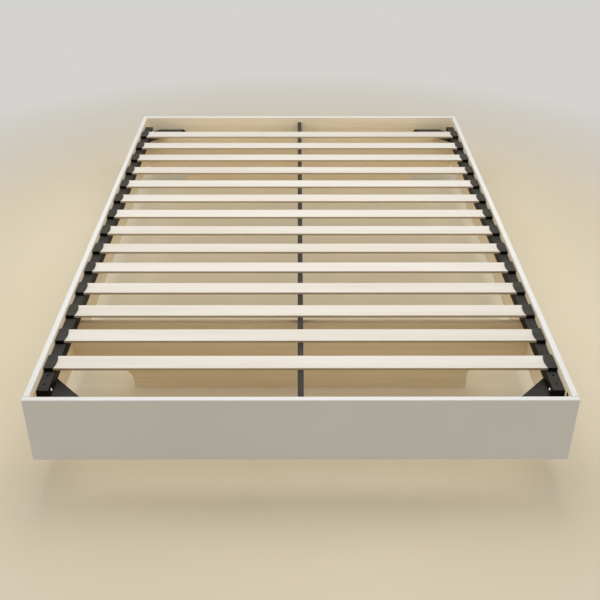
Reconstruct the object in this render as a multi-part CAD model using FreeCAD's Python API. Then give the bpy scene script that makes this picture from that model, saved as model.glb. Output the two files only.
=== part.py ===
import FreeCAD, Part
import math
import os

# Full-size platform bed: four boards round a slatted deck that stands on two set-back cross boards.
# Millimetres. +X is to the right of someone who faces the head end, +Y points to the head end, +Z is up.
# The origin lies on the floor under the middle of the bed.

# Overall size
bed_width = 1420.0
bed_length = 1972.0
frame_top = 305.0

# White boards
board_thickness = 16.0
board_height = 203.0
board_edge_radius = 2.5

# Slats
slat_count = 14
slat_width = 55.0
slat_thickness = 8.0
slat_recess = 15.0
slat_end_margin = 134.0
slat_edge_radius = 2.5

# Plastic caps on the slat ends
cap_board_gap = 1.0
cap_length = 24.0
cap_bulge = 6.0
cap_floor = 2.0
cap_lip = 2.3
cap_wall = 2.0
cap_back_wall = 2.5
cap_corner_radius = 4.0
cap_edge_radius = 0.8
cap_clearance = 0.2
cap_pin_diameter = 6.0
cap_pin_length = 8.0
cap_pin_clearance = 0.2

# Square steel rails along the side boards
rail_width = 32.0
rail_height = 32.0
rail_wall = 1.5
rail_corner_radius = 3.0
rail_end_gap = 53.0
spare_hole_diameter = 6.0
spare_hole_setbacks = (26.5, 62.0)
plug_head = 2.0
plug_stem = 12.0
plug_clearance = 0.15

# Narrow rail under the middle of the slats
centre_rail_width = 16.0
centre_rail_wall = 1.5
centre_rail_corner_radius = 2.0
centre_rail_clearance = 0.5

# Hangers at the ends of the centre rail
hanger_reach = 40.0
hanger_drop = 46.0
hanger_thickness = 3.0
hanger_screw_drops = (16.0, 34.0)
hanger_screw_reach = 26.0

# Corner gussets
gusset_leg = 174.0
gusset_clip = 57.0
gusset_tip = 8.0
gusset_thickness = 3.0
gusset_flange_height = 33.0
gusset_flange_chamfer = 9.0
gusset_bolt_drop = 19.0
gusset_bolt_inset = 27.0

# Cross boards that carry the bed
front_setback = 422.0
cross_thickness = 16.0
wing_height = 77.0
foot_half_width = 520.0
foot_radius_left = 50.0
foot_radius_right = 28.0
notch_clearance = 0.2
notch_end_room = 3.0

# Angle brackets between cross boards and side boards
bracket_leg = 40.0
bracket_room = 14.0
bracket_thickness = 2.5
bracket_height = 60.0
bracket_drop = 20.0
bracket_cover_room = 16.5
bracket_screw_reach = 26.0
bracket_screw_inset = 15.0

# Machine bolts with button heads, their inserts and nuts
bolt_diameter = 6.0
bolt_head_diameter = 11.0
bolt_head_height = 3.6
bolt_socket = 4.0
bolt_clearance = 0.2
bolt_tip = 1.5
rail_bolt_setback = 22.0
insert_diameter = 10.0
insert_skin = 4.0
insert_clearance = 0.1
nut_across_flats = 10.0
nut_height = 5.0

# Small screws of the brackets and hangers
screw_diameter = 4.0
screw_length = 13.0
screw_head_diameter = 8.0
screw_head_height = 2.4
screw_socket = 2.5
screw_clearance = 0.1

# Corner joints of the boards: cams, their bolts, covers and dowels
cam_diameter = 15.0
cam_skin = 3.5
cam_setback = 34.0
cam_top_drop = 25.0
cam_bottom_rise = 38.0
cam_clearance = 0.2
cam_slot_length = 9.0
cam_slot_width = 1.8
cam_slot_depth = 1.5
cam_bolt_shank = 5.0
cam_bolt_head = 7.0
cam_bolt_head_length = 5.0
cam_bolt_bore = 8.0
cam_bolt_skin = 5.0
cam_bolt_overrun = 1.0
cover_diameter = 17.0
cover_thickness = 1.2
dowel_diameter = 8.0
dowel_depth = 20.0
dowel_skin = 6.0
dowel_clearance = 0.2
dowel_end_room = 0.5

# Places that follow from those sizes
inner_x = bed_width / 2 - board_thickness
inner_y = bed_length / 2 - board_thickness
board_bottom = frame_top - board_height
slat_top = frame_top - slat_recess
slat_bottom = slat_top - slat_thickness
slat_pitch = (2 * inner_y - 2 * slat_end_margin - slat_width) / (slat_count - 1)
slat_half_length = inner_x - cap_board_gap - cap_back_wall - cap_clearance
rail_top = slat_bottom - cap_floor
rail_bottom = rail_top - rail_height
rail_x = inner_x - rail_width / 2
rail_end = inner_y - rail_end_gap
side_bolt_y = rail_end - rail_bolt_setback
side_bolt_z = rail_bottom + rail_height / 2
gusset_bottom = rail_bottom - gusset_thickness
flange_bolt_z = rail_bottom - gusset_bolt_drop
flange_bolt_reaches = (gusset_clip + gusset_bolt_inset, gusset_leg - gusset_tip - gusset_bolt_inset)
gusset_rail_bolt_y = inner_y - (rail_end_gap + plug_head + gusset_leg - rail_width / 2) / 2
front_cross_y = -bed_length / 2 + front_setback + cross_thickness
rear_cross_gap = bracket_leg + bracket_room
rear_cross_y = inner_y - rear_cross_gap
insert_length = board_thickness - insert_skin
board_middle_x = inner_x + board_thickness / 2
cam_depth = board_thickness - cam_skin
cam_levels = (frame_top - cam_top_drop, board_bottom + cam_bottom_rise)
cam_spread = cam_levels[0] - cam_levels[1]
dowel_levels = (cam_levels[1] + cam_spread / 3, cam_levels[1] + 2 * cam_spread / 3)
cam_y = inner_y - cam_setback
cam_bolt_thread = board_thickness - cam_bolt_skin
dowel_end_depth = board_thickness - dowel_skin

# The brackets stand between the gusset plates and the lower cam covers, with the spare height shared out
bracket_spare = gusset_bottom - cam_levels[1] - cover_diameter / 2 - bracket_height
bracket_top = gusset_bottom - bracket_spare * bracket_drop / (bracket_drop + bracket_cover_room)
bracket_screw_levels = (bracket_top - bracket_screw_inset, bracket_top - bracket_height + bracket_screw_inset)

# The four corners as signs of X and Y: left and right, foot and head
CORNERS = ((-1, -1), (1, -1), (-1, 1), (1, 1))
SIDE_NAMES = {-1: "left", 1: "right"}
END_NAMES = {-1: "foot", 1: "head"}
CROSS_NAMES = {"front": front_cross_y, "rear": rear_cross_y}
UP = (0, 0, 1)
OVERCUT = 1.0


def vector(point):
    return FreeCAD.Vector(*point)


def box(corner, opposite):
    low = [min(pair) for pair in zip(corner, opposite)]
    high = [max(pair) for pair in zip(corner, opposite)]
    size = [top - bottom for bottom, top in zip(low, high)]
    return Part.makeBox(size[0], size[1], size[2], vector(low))


def rod(diameter, length, start, direction):
    return Part.makeCylinder(diameter / 2, length, vector(start), vector(direction))


def edges_along(shape, axis):
    """Straight edges of a shape that run along X (0), Y (1) or Z (2)."""
    found = []
    for edge in shape.Edges:
        run = edge.Vertexes[-1].Point - edge.Vertexes[0].Point
        if run.Length > 0 and abs(abs(run[axis]) - run.Length) < 1e-6:
            found.append(edge)
    return found


def rounded_bar(corner, opposite, axis, radius):
    """Box whose four long edges are rounded."""
    bar = box(corner, opposite)
    return bar.makeFillet(radius, edges_along(bar, axis))


def square_tube(corner, opposite, wall, radius):
    """Tube along Y with rounded corners."""
    outer = rounded_bar(corner, opposite, 1, radius)
    low = (corner[0] + wall, corner[1] - OVERCUT, corner[2] + wall)
    high = (opposite[0] - wall, opposite[1] + OVERCUT, opposite[2] - wall)
    inner = rounded_bar(low, high, 1, max(radius - wall, wall / 3))
    return outer.cut(inner)


def drilled(shape, holes):
    return shape.cut(Part.makeCompound(holes))


def hole(diameter, depth, mouth, direction):
    """Round cutter that starts a little outside the mouth of the hole."""
    start = [place - OVERCUT * step for place, step in zip(mouth, direction)]
    return rod(diameter, depth + OVERCUT, start, direction)


def turned(shape, start, direction):
    """A piece made along +Z, moved to its place and direction."""
    moved = shape.copy()
    moved.Placement = FreeCAD.Placement(vector(start), FreeCAD.Rotation(vector(UP), vector(direction)))
    return moved


def hexagon(across_flats, height, base):
    radius = across_flats / math.sqrt(3)
    corners = []
    for step in range(7):
        angle = math.radians(60 * step)
        corners.append(vector((radius * math.cos(angle), radius * math.sin(angle), base)))
    return Part.Face(Part.makePolygon(corners)).extrude(vector((0, 0, height)))


def headed_bolt(diameter, length, head_diameter, head_height, socket):
    """Bolt along +Z whose domed head, with a hexagon socket, lies under Z = 0."""
    head = rod(head_diameter, head_height, (0, 0, -head_height), UP)
    rim = [edge for edge in head.Edges if abs(edge.CenterOfMass.z + head_height) < 1e-6]
    head = head.makeFillet(head_height * 0.6, rim)
    head = head.cut(hexagon(socket, head_height / 2 + OVERCUT, -head_height - OVERCUT))
    return head.fuse(rod(diameter, length, (0, 0, 0), UP)).removeSplitter()


def machine_bolt(length):
    return headed_bolt(bolt_diameter, length, bolt_head_diameter, bolt_head_height, bolt_socket)


def small_screw():
    return headed_bolt(screw_diameter, screw_length, screw_head_diameter, screw_head_height, screw_socket)


def slat_places():
    first = -(slat_count - 1) * slat_pitch / 2
    return [first + index * slat_pitch for index in range(slat_count)]


def end_board(end):
    """Full-width board across the foot or head end, with its inner face drilled."""
    corner = (-bed_width / 2, end * inner_y, board_bottom)
    board = box(corner, (bed_width / 2, end * bed_length / 2, frame_top))
    board = board.makeFillet(board_edge_radius, board.Edges)
    outward = (0, end, 0)
    face = end * inner_y
    holes = []
    for side in (-1, 1):
        for level in cam_levels:
            mouth = (side * board_middle_x, face, level)
            holes.append(hole(bolt_diameter + screw_clearance, cam_bolt_thread, mouth, outward))
        for level in dowel_levels:
            mouth = (side * board_middle_x, face, level)
            holes.append(hole(dowel_diameter + dowel_clearance, dowel_end_depth + dowel_end_room, mouth, outward))
        for reach in flange_bolt_reaches:
            mouth = (side * (inner_x - reach), face, flange_bolt_z)
            holes.append(hole(insert_diameter + insert_clearance, insert_length, mouth, outward))
    for drop in hanger_screw_drops:
        mouth = (0, face, rail_bottom - drop)
        holes.append(hole(screw_diameter + screw_clearance, screw_length - hanger_thickness, mouth, outward))
    return drilled(board, holes)


def side_board(side):
    """Board between the end boards, with cams and bolts let into its inner face and ends."""
    corner = (side * inner_x, -inner_y, board_bottom)
    board = rounded_bar(corner, (side * bed_width / 2, inner_y, frame_top), 1, board_edge_radius)
    outward = (side, 0, 0)
    holes = []
    for end in (-1, 1):
        inward = (0, -end, 0)
        for level in cam_levels:
            mouth = (side * inner_x, end * cam_y, level)
            holes.append(hole(cam_diameter + cam_clearance, cam_depth + cam_clearance, mouth, outward))
            mouth = (side * board_middle_x, end * inner_y, level)
            holes.append(hole(cam_bolt_bore, cam_setback, mouth, inward))
        for level in dowel_levels:
            mouth = (side * board_middle_x, end * inner_y, level)
            holes.append(hole(dowel_diameter + dowel_clearance, dowel_depth + dowel_end_room, mouth, inward))
        mouth = (side * inner_x, end * side_bolt_y, side_bolt_z)
        holes.append(hole(insert_diameter + insert_clearance, insert_length, mouth, outward))
    for cross_y in CROSS_NAMES.values():
        for level in bracket_screw_levels:
            mouth = (side * inner_x, cross_y + bracket_screw_reach, level)
            holes.append(hole(screw_diameter + screw_clearance, screw_length - bracket_thickness, mouth, outward))
    return drilled(board, holes)


def foot_corner(side, radius):
    """Concave arc between the foot of a cross board and the wing beside it."""
    middle = radius * (1 - math.sqrt(0.5))
    high = vector((side * (foot_half_width + radius), 0, wing_height))
    mid = vector((side * (foot_half_width + middle), 0, wing_height - middle))
    low = vector((side * foot_half_width, 0, wing_height - radius))
    return high, mid, low


def cross_board(back_y):
    """Board across the whole inside, narrowed to a foot at the floor, with its back face at back_y."""
    right_high, right_mid, right_low = foot_corner(1, foot_radius_right)
    left_high, left_mid, left_low = foot_corner(-1, foot_radius_left)
    top_left = vector((-inner_x, 0, rail_bottom))
    top_right = vector((inner_x, 0, rail_bottom))
    wing_right = vector((inner_x, 0, wing_height))
    wing_left = vector((-inner_x, 0, wing_height))
    floor_right = vector((foot_half_width, 0, 0))
    floor_left = vector((-foot_half_width, 0, 0))
    outline = [
        Part.makePolygon([left_high, wing_left, top_left, top_right, wing_right, right_high]),
        Part.Arc(right_high, right_mid, right_low).toShape(),
        Part.makePolygon([right_low, floor_right, floor_left, left_low]),
        Part.Arc(left_low, left_mid, left_high).toShape(),
    ]
    edges = [edge for piece in outline for edge in piece.Edges]
    board = Part.Face(Part.Wire(edges)).extrude(vector((0, -cross_thickness, 0)))
    board.translate(vector((0, back_y, 0)))
    holes = []
    for side in (-1, 1):
        for level in bracket_screw_levels:
            mouth = (side * (inner_x - bracket_screw_reach), back_y, level)
            depth = screw_length - bracket_thickness
            holes.append(hole(screw_diameter + screw_clearance, depth, mouth, (0, -1, 0)))
    return drilled(board, holes)


def rear_cross_board():
    """Cross board whose top is let down at both ends for the gussets above it."""
    board = cross_board(rear_cross_y)
    reach = gusset_leg - rear_cross_gap + notch_end_room
    level = gusset_bottom - notch_clearance
    notches = []
    for side in (-1, 1):
        low = (side * (inner_x - reach), rear_cross_y - cross_thickness - OVERCUT, level)
        high = (side * (inner_x + OVERCUT), rear_cross_y + OVERCUT, rail_bottom + OVERCUT)
        notches.append(box(low, high))
    return drilled(board, notches)


def slat(y):
    corner = (-slat_half_length, y - slat_width / 2, slat_bottom)
    opposite = (slat_half_length, y + slat_width / 2, slat_top)
    return rounded_bar(corner, opposite, 0, min(slat_edge_radius, slat_thickness * 0.45))


def right_cap(y):
    """Cap on the right end of a slat: a shallow box with a lip that bulges over the slat, and a pin."""
    half = slat_width / 2 + cap_clearance + cap_wall
    back = inner_x - cap_board_gap
    mouth = back - cap_length
    height = cap_floor + slat_thickness + cap_clearance + cap_lip
    back_low = vector((back, y - half, rail_top))
    back_high = vector((back, y + half, rail_top))
    mouth_low = vector((mouth, y - half, rail_top))
    mouth_high = vector((mouth, y + half, rail_top))
    bulge = vector((mouth - cap_bulge, y, rail_top))
    sides = Part.makePolygon([mouth_low, back_low, back_high, mouth_high]).Edges
    tongue = Part.Arc(mouth_high, bulge, mouth_low).toShape()
    body = Part.Face(Part.Wire(sides + [tongue])).extrude(vector((0, 0, height)))
    uprights = [edge for edge in edges_along(body, 2) if edge.CenterOfMass.x > back - OVERCUT]
    body = body.makeFillet(cap_corner_radius, uprights)
    rim = [edge for edge in body.Edges if abs(edge.BoundBox.ZMin - rail_top - height) < 1e-6]
    body = body.makeFillet(min(cap_edge_radius, cap_lip * 0.45), rim)
    pocket_low = (mouth - cap_bulge - OVERCUT, y - slat_width / 2 - cap_clearance, slat_bottom)
    pocket_high = (back - cap_back_wall, y + slat_width / 2 + cap_clearance, slat_top + cap_clearance)
    body = body.cut(box(pocket_low, pocket_high))
    pin = rod(cap_pin_diameter, cap_pin_length, (rail_x, y, rail_top), (0, 0, -1))
    return body.fuse(pin).removeSplitter()


def mirrored(shape, normal):
    return shape.mirror(vector((0, 0, 0)), vector(normal))


def slat_caps(y):
    cap = right_cap(y)
    return Part.makeCompound([mirrored(cap, (1, 0, 0)), cap])


def right_slat_rail():
    """Square tube against the right side board, drilled for caps, bolts and spare fittings."""
    ends = rail_end - plug_head
    low = (inner_x - rail_width, -ends, rail_bottom)
    tube = square_tube(low, (inner_x, ends, rail_top), rail_wall, rail_corner_radius)
    down = (0, 0, -1)
    depth = rail_wall + OVERCUT
    holes = []
    for y in slat_places():
        holes.append(hole(cap_pin_diameter + cap_pin_clearance, depth, (rail_x, y, rail_top), down))
    for end in (-1, 1):
        for setback in spare_hole_setbacks:
            mouth = (rail_x, end * (rail_end - setback), rail_top)
            holes.append(hole(spare_hole_diameter, depth, mouth, down))
        mouth = (inner_x - rail_width, end * side_bolt_y, side_bolt_z)
        holes.append(hole(bolt_diameter + bolt_clearance, rail_width + OVERCUT, mouth, (1, 0, 0)))
        mouth = (rail_x, end * gusset_rail_bolt_y, rail_bottom)
        holes.append(hole(bolt_diameter + bolt_clearance, depth, mouth, UP))
    return drilled(tube, holes)


def rail_end_plugs():
    """Square plugs that close the ends of both side rails."""
    reach = rail_wall + plug_clearance
    stem_radius = max(rail_corner_radius - rail_wall, rail_wall / 3)
    low = (inner_x - rail_width, rail_end - plug_head, rail_bottom)
    head = rounded_bar(low, (inner_x, rail_end, rail_top), 1, rail_corner_radius)
    low = (inner_x - rail_width + reach, rail_end - plug_head - plug_stem, rail_bottom + reach)
    high = (inner_x - reach, rail_end - plug_head, rail_top - reach)
    plug = head.fuse(rounded_bar(low, high, 1, stem_radius)).removeSplitter()
    pair = [plug, mirrored(plug, (1, 0, 0))]
    return Part.makeCompound(pair + [mirrored(piece, (0, 1, 0)) for piece in pair])


def centre_rail():
    half = centre_rail_width / 2
    end = inner_y - centre_rail_clearance
    tube = square_tube((-half, -end, rail_bottom), (half, end, slat_bottom), centre_rail_wall,
                       centre_rail_corner_radius)
    holes = []
    for place in (-1, 1):
        mouth = (0, place * (inner_y - hanger_screw_reach), rail_bottom)
        holes.append(hole(screw_diameter + screw_clearance, centre_rail_wall + OVERCUT, mouth, UP))
    return drilled(tube, holes)


def head_hanger():
    """Angle on the head board that carries the end of the centre rail."""
    half = centre_rail_width / 2
    shelf_low = (-half, inner_y - hanger_reach, rail_bottom - hanger_thickness)
    shelf = box(shelf_low, (half, inner_y, rail_bottom))
    leg_low = (-half, inner_y - hanger_thickness, rail_bottom - hanger_drop)
    angle = shelf.fuse(box(leg_low, (half, inner_y, rail_bottom))).removeSplitter()
    size = screw_diameter + screw_clearance
    depth = hanger_thickness + OVERCUT
    mouth = (0, inner_y - hanger_screw_reach, rail_bottom - hanger_thickness)
    holes = [hole(size, depth, mouth, UP)]
    for drop in hanger_screw_drops:
        mouth = (0, inner_y - hanger_thickness, rail_bottom - drop)
        holes.append(hole(size, depth, mouth, (0, 1, 0)))
    return drilled(angle, holes)


def gusset_at(reach, run, level):
    """Point of the head right gusset, given from the inner corner of the boards."""
    return vector((inner_x - reach, inner_y - run, level))


def head_right_gusset():
    """Triangular plate under the rail with a flange bent down along the head board."""
    far = gusset_leg - gusset_tip
    outline = [
        gusset_at(gusset_clip, 0, gusset_bottom),
        gusset_at(far, 0, gusset_bottom),
        gusset_at(far, gusset_tip, gusset_bottom),
        gusset_at(gusset_tip, far, gusset_bottom),
        gusset_at(0, far, gusset_bottom),
        gusset_at(0, gusset_clip, gusset_bottom),
    ]
    plate = Part.Face(Part.makePolygon(outline + outline[:1])).extrude(vector((0, 0, gusset_thickness)))
    low = rail_bottom - gusset_flange_height
    outline = [
        gusset_at(gusset_clip, 0, rail_bottom),
        gusset_at(far, 0, rail_bottom),
        gusset_at(far, 0, low + gusset_flange_chamfer),
        gusset_at(far - gusset_flange_chamfer, 0, low),
        gusset_at(gusset_clip + gusset_flange_chamfer, 0, low),
        gusset_at(gusset_clip, 0, low + gusset_flange_chamfer),
    ]
    flange = Part.Face(Part.makePolygon(outline + outline[:1])).extrude(vector((0, -gusset_thickness, 0)))
    plate = plate.fuse(flange).removeSplitter()
    bend = []
    for edge in edges_along(plate, 0):
        place = edge.CenterOfMass
        if abs(place.y - inner_y) < 1e-6 and abs(place.z - rail_bottom) < 1e-6:
            bend.append(edge)
    plate = plate.makeFillet(gusset_thickness * 0.9, bend)
    size = bolt_diameter + bolt_clearance
    depth = gusset_thickness + OVERCUT
    holes = [hole(size, depth, (rail_x, gusset_rail_bolt_y, gusset_bottom), UP)]
    for reach in flange_bolt_reaches:
        mouth = (inner_x - reach, inner_y - gusset_thickness, flange_bolt_z)
        holes.append(hole(size, depth, mouth, (0, 1, 0)))
    return drilled(plate, holes)


def right_cross_bracket(back_y):
    """Angle between the back of a cross board and the right side board."""
    low = bracket_top - bracket_height
    leg = box((inner_x - bracket_leg, back_y, low), (inner_x, back_y + bracket_thickness, bracket_top))
    other = box((inner_x - bracket_thickness, back_y, low), (inner_x, back_y + bracket_leg, bracket_top))
    angle = leg.fuse(other).removeSplitter()
    size = screw_diameter + screw_clearance
    depth = bracket_thickness + OVERCUT
    holes = []
    for level in bracket_screw_levels:
        mouth = (inner_x - bracket_screw_reach, back_y + bracket_thickness, level)
        holes.append(hole(size, depth, mouth, (0, -1, 0)))
        mouth = (inner_x - bracket_thickness, back_y + bracket_screw_reach, level)
        holes.append(hole(size, depth, mouth, (1, 0, 0)))
    return drilled(angle, holes)


def gusset_flange_bolts():
    bolt = machine_bolt(gusset_thickness + insert_length - bolt_tip)
    pieces = []
    for side, end in CORNERS:
        for reach in flange_bolt_reaches:
            start = (side * (inner_x - reach), end * (inner_y - gusset_thickness), flange_bolt_z)
            pieces.append(turned(bolt, start, (0, end, 0)))
    return Part.makeCompound(pieces)


def gusset_rail_bolts():
    bolt = machine_bolt(gusset_thickness + rail_wall + nut_height + bolt_tip)
    pieces = []
    for side, end in CORNERS:
        pieces.append(turned(bolt, (side * rail_x, end * gusset_rail_bolt_y, gusset_bottom), UP))
    return Part.makeCompound(pieces)


def rail_weld_nuts():
    """Nuts on the floor of the side rails, inside, over the gussets."""
    nut = hexagon(nut_across_flats, nut_height, 0)
    nut = nut.cut(hole(bolt_diameter + bolt_clearance, nut_height + OVERCUT, (0, 0, 0), UP))
    pieces = []
    for side, end in CORNERS:
        pieces.append(turned(nut, (side * rail_x, end * gusset_rail_bolt_y, rail_bottom + rail_wall), UP))
    return Part.makeCompound(pieces)


def rail_side_bolts():
    """Bolts through the side rails into the side boards, their heads on the inner faces."""
    bolt = machine_bolt(rail_width + insert_length - bolt_tip)
    pieces = []
    for side, end in CORNERS:
        start = (side * (inner_x - rail_width), end * side_bolt_y, side_bolt_z)
        pieces.append(turned(bolt, start, (side, 0, 0)))
    return Part.makeCompound(pieces)


def threaded_inserts():
    """Sleeves in the boards that take the bolts of the gussets and side rails."""
    sleeve = rod(insert_diameter, insert_length, (0, 0, 0), UP)
    sleeve = sleeve.cut(hole(bolt_diameter + bolt_clearance, insert_length + OVERCUT, (0, 0, 0), UP))
    pieces = []
    for side, end in CORNERS:
        pieces.append(turned(sleeve, (side * inner_x, end * side_bolt_y, side_bolt_z), (side, 0, 0)))
        for reach in flange_bolt_reaches:
            start = (side * (inner_x - reach), end * inner_y, flange_bolt_z)
            pieces.append(turned(sleeve, start, (0, end, 0)))
    return Part.makeCompound(pieces)


def bracket_screws():
    """Screws of the cross brackets and of the centre rail hangers."""
    screw = small_screw()
    pieces = []
    for back_y in CROSS_NAMES.values():
        for side in (-1, 1):
            for level in bracket_screw_levels:
                start = (side * (inner_x - bracket_screw_reach), back_y + bracket_thickness, level)
                pieces.append(turned(screw, start, (0, -1, 0)))
                start = (side * (inner_x - bracket_thickness), back_y + bracket_screw_reach, level)
                pieces.append(turned(screw, start, (side, 0, 0)))
    for end in (-1, 1):
        start = (0, end * (inner_y - hanger_screw_reach), rail_bottom - hanger_thickness)
        pieces.append(turned(screw, start, UP))
        for drop in hanger_screw_drops:
            start = (0, end * (inner_y - hanger_thickness), rail_bottom - drop)
            pieces.append(turned(screw, start, (0, end, 0)))
    return Part.makeCompound(pieces)


def cam_lock(side, end, level):
    """Round cam in a side board, hollowed for the bolt head and slotted for a screwdriver."""
    face = side * inner_x
    place = end * cam_y
    cam = rod(cam_diameter, cam_depth, (face, place, level), (side, 0, 0))
    reach = cam_bolt_overrun * 2
    start = (side * board_middle_x, place - end * reach, level)
    pocket = rod(cam_bolt_bore, cam_diameter, start, (0, end, 0))
    half = cam_slot_length / 2
    thin = cam_slot_width / 2
    depth = side * cam_slot_depth
    level_slot = box((face, place - half, level - thin), (face + depth, place + half, level + thin))
    upright_slot = box((face, place - thin, level - half), (face + depth, place + thin, level + half))
    return drilled(cam, [pocket, level_slot, upright_slot])


def cam_locks():
    return Part.makeCompound([cam_lock(side, end, level) for side, end in CORNERS for level in cam_levels])


def cam_bolts():
    """Bolts from the end boards into the cams."""
    thread = rod(bolt_diameter, cam_bolt_thread, (0, 0, -cam_bolt_thread), UP)
    shank = rod(cam_bolt_shank, cam_setback, (0, 0, 0), UP)
    head_start = cam_setback + cam_bolt_overrun - cam_bolt_head_length
    head = rod(cam_bolt_head, cam_bolt_head_length, (0, 0, head_start), UP)
    bolt = thread.fuse([shank, head]).removeSplitter()
    pieces = []
    for side, end in CORNERS:
        for level in cam_levels:
            pieces.append(turned(bolt, (side * board_middle_x, end * inner_y, level), (0, -end, 0)))
    return Part.makeCompound(pieces)


def cam_covers():
    """Thin caps over the cams. The upper right one at the foot end is open."""
    pieces = []
    for side, end in CORNERS:
        for level in cam_levels:
            if (side, end, level) != (1, -1, cam_levels[0]):
                start = (side * inner_x, end * cam_y, level)
                pieces.append(rod(cover_diameter, cover_thickness, start, (-side, 0, 0)))
    return Part.makeCompound(pieces)


def corner_dowels():
    pieces = []
    for side, end in CORNERS:
        for level in dowel_levels:
            start = (side * board_middle_x, end * (inner_y + dowel_end_depth), level)
            pieces.append(rod(dowel_diameter, dowel_end_depth + dowel_depth, start, (0, -end, 0)))
    return Part.makeCompound(pieces)


def build():
    """Every node of the bed by name."""
    nodes = {}
    for end, name in END_NAMES.items():
        nodes[name + "_board"] = end_board(end)
    for side, name in SIDE_NAMES.items():
        nodes[name + "_side_board"] = side_board(side)
    nodes["front_cross_board"] = cross_board(front_cross_y)
    nodes["rear_cross_board"] = rear_cross_board()
    rail = right_slat_rail()
    nodes["left_slat_rail"] = mirrored(rail, (1, 0, 0))
    nodes["right_slat_rail"] = rail
    nodes["centre_rail"] = centre_rail()
    gusset = head_right_gusset()
    for side, end in CORNERS:
        piece = gusset if side > 0 else mirrored(gusset, (1, 0, 0))
        piece = piece if end > 0 else mirrored(piece, (0, 1, 0))
        nodes["gusset_%s_%s" % (END_NAMES[end], SIDE_NAMES[side])] = piece
    for number, y in enumerate(slat_places(), start=1):
        nodes["slat_%02d" % number] = slat(y)
        nodes["slat_caps_%02d" % number] = slat_caps(y)
    nodes["rail_end_plugs"] = rail_end_plugs()
    hanger = head_hanger()
    nodes["centre_rail_hanger_foot"] = mirrored(hanger, (0, 1, 0))
    nodes["centre_rail_hanger_head"] = hanger
    for name, back_y in CROSS_NAMES.items():
        bracket = right_cross_bracket(back_y)
        nodes["cross_bracket_%s_left" % name] = mirrored(bracket, (1, 0, 0))
        nodes["cross_bracket_%s_right" % name] = bracket
    nodes["gusset_flange_bolts"] = gusset_flange_bolts()
    nodes["gusset_rail_bolts"] = gusset_rail_bolts()
    nodes["rail_weld_nuts"] = rail_weld_nuts()
    nodes["rail_side_bolts"] = rail_side_bolts()
    nodes["threaded_inserts"] = threaded_inserts()
    nodes["bracket_screws"] = bracket_screws()
    nodes["cam_locks"] = cam_locks()
    nodes["cam_bolts"] = cam_bolts()
    nodes["cam_covers"] = cam_covers()
    nodes["corner_dowels"] = corner_dowels()
    return nodes


os.makedirs("parts", exist_ok=True)
for node, shape in build().items():
    shape.exportStep(os.path.join("parts", node + ".step"))
    print(node, len(shape.Solids), "solids,", round(shape.Volume / 1000, 2), "cubic centimetres")
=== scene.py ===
# %% [markdown]
# A low platform bed, dressed piece by piece
#
# The bed is a shallow tray of four boards, white outside and bare wood inside, round a deck of
# slats. Two cross boards carry it from far underneath, so it seems to float. Its solids come
# packed from the drawing, in metres, with the floor at Z = 0 and the head end at +Y. This lesson
# gives each solid its finish, and rebuilds the pieces that repeat or need softer edges.

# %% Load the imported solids
import math

import bmesh
import bpy
from mathutils import Matrix, Vector


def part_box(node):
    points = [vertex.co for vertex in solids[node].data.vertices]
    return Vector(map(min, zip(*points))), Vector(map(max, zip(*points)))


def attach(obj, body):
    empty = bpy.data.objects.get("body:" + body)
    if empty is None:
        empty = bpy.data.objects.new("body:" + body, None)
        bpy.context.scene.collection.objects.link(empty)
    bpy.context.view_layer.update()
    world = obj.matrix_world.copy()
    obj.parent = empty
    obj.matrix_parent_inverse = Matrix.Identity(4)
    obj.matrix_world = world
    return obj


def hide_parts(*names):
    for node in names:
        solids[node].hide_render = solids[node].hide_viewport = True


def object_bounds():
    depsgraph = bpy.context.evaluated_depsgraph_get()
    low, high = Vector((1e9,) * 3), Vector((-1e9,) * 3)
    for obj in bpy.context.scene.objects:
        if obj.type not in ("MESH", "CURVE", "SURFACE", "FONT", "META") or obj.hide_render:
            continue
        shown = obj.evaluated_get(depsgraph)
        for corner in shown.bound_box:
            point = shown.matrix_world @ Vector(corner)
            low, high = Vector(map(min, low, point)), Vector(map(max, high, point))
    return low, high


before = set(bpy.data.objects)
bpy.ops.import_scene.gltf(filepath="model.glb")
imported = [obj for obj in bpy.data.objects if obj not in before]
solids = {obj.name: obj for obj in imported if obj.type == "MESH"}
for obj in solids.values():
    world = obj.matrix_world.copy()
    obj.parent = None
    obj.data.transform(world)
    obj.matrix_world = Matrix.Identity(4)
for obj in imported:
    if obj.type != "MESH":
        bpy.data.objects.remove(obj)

scene = bpy.context.scene
cad_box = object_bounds()
print(len(solids), "solids in a box from", tuple(cad_box[0]), "to", tuple(cad_box[1]))

# %% [markdown]
# The camera
#
# The bed is seen from its foot end, from about the eye height of someone who stands there. A track
# constraint could turn the camera, but three plain axes are easier to check: where it looks, what
# is up in the picture and what is right. A small downward shift keeps the bed's verticals as
# upright as they should be.

# %% Camera
viewpoint = (-0.0067, -2.6450, 1.7126)
camera_angles = [math.radians(angle) for angle in (29.543, 0.147, 0.054)]


def camera_axes(pitch, yaw, roll):
    """Rotation whose columns are the picture's right, its up and the way back to the viewer."""
    ahead = Vector((math.sin(yaw), math.cos(yaw), 0))
    right = Vector((math.cos(yaw), -math.sin(yaw), 0))
    upright = Vector((0, 0, 1))
    look = ahead * math.cos(pitch) - upright * math.sin(pitch)
    up = upright * math.cos(pitch) + ahead * math.sin(pitch)
    level_right = right * math.cos(roll) + up * math.sin(roll)
    level_up = up * math.cos(roll) - right * math.sin(roll)
    return Matrix((level_right, level_up, -look)).transposed()


lens = bpy.data.cameras.new("foot end camera")
lens.sensor_width = 36
lens.lens = 50.605
lens.shift_y = -0.10
lens.clip_end = 100
camera = bpy.data.objects.new("foot end camera", lens)
camera.matrix_world = Matrix.Translation(viewpoint) @ camera_axes(*camera_angles).to_4x4()
scene.collection.objects.link(camera)
scene.camera = camera
print("camera", round(camera.location.length, 2), "m from the bed's middle, lens", lens.lens)

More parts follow.
